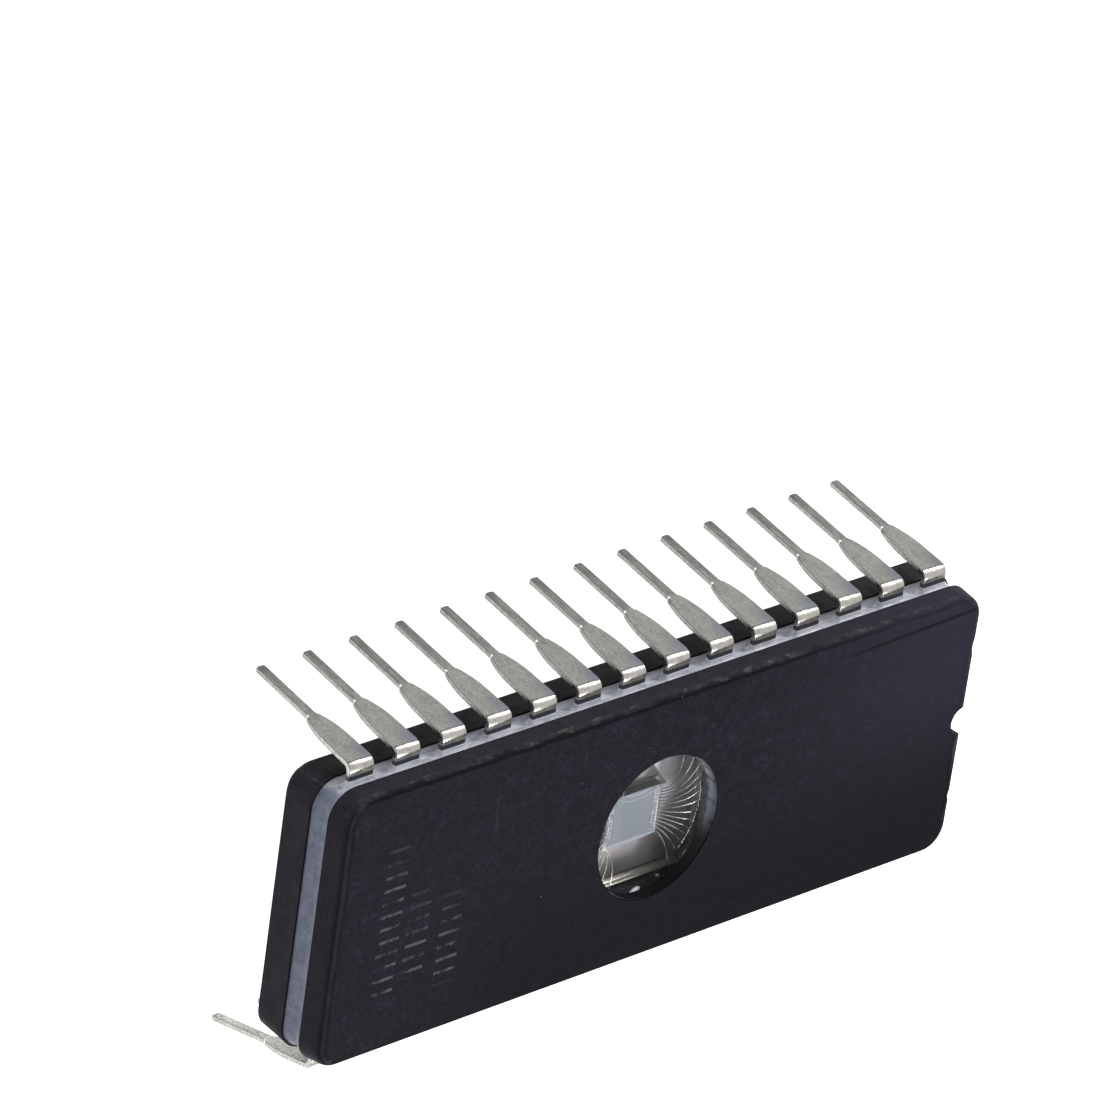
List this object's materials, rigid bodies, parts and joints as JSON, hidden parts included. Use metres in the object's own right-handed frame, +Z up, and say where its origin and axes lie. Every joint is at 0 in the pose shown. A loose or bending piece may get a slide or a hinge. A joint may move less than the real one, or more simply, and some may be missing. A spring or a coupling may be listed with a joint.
{
  "type": "windowed eprom chip",
  "caption": "Ceramic dual in-line memory chip with a round clear window over its die, a notched end and two rows of tinned leads.",
  "frame": {"origin": "middle of the footprint, on the plane of the lead tips", "axes": "+Z up through the window, +X along the body towards the notched end, lead 1 on the +Y side beside the notch"},
  "size_m": [0.0368, 0.017, 0.0081],
  "materials": {
    "black_ceramic": "matte pressed ceramic with fine scratches",
    "sealing_glass": "satin grey-blue fused glass",
    "window_glass": "clear polished glass",
    "cavity_metal": "dull fired metal film",
    "die_attach": "dull fired metal",
    "silicon": "polished silicon with a fine circuit relief",
    "bond_wire": "bright drawn wire",
    "tinned_lead": "dull tin plate with fine scratches"
  },
  "bodies": {
    "root": {"bond_wires_notch_end": "bond_wire", "bond_wires_plain_end": "bond_wire", "cavity_plating": "cavity_metal", "ceramic_base": "black_ceramic", "ceramic_cap": "black_ceramic", "die_attach": "die_attach", "lead_01": "tinned_lead", "lead_02": "tinned_lead", "lead_03": "tinned_lead", "lead_04": "tinned_lead", "lead_05": "tinned_lead", "lead_06": "tinned_lead", "lead_07": "tinned_lead", "lead_08": "tinned_lead", "lead_09": "tinned_lead", "lead_10": "tinned_lead", "lead_11": "tinned_lead", "lead_12": "tinned_lead", "lead_13": "tinned_lead", "lead_14": "tinned_lead", "lead_15": "tinned_lead", "lead_16": "tinned_lead", "lead_17": "tinned_lead", "lead_18": "tinned_lead", "lead_19": "tinned_lead", "lead_20": "tinned_lead", "lead_21": "tinned_lead", "lead_22": "tinned_lead", "lead_23": "tinned_lead", "lead_24": "tinned_lead", "lead_25": "tinned_lead", "lead_26": "tinned_lead", "lead_27": "tinned_lead", "lead_28": "tinned_lead", "seal_glass": "sealing_glass", "silicon_die": "silicon", "uv_window": "window_glass"}
  },
  "joints": []
}
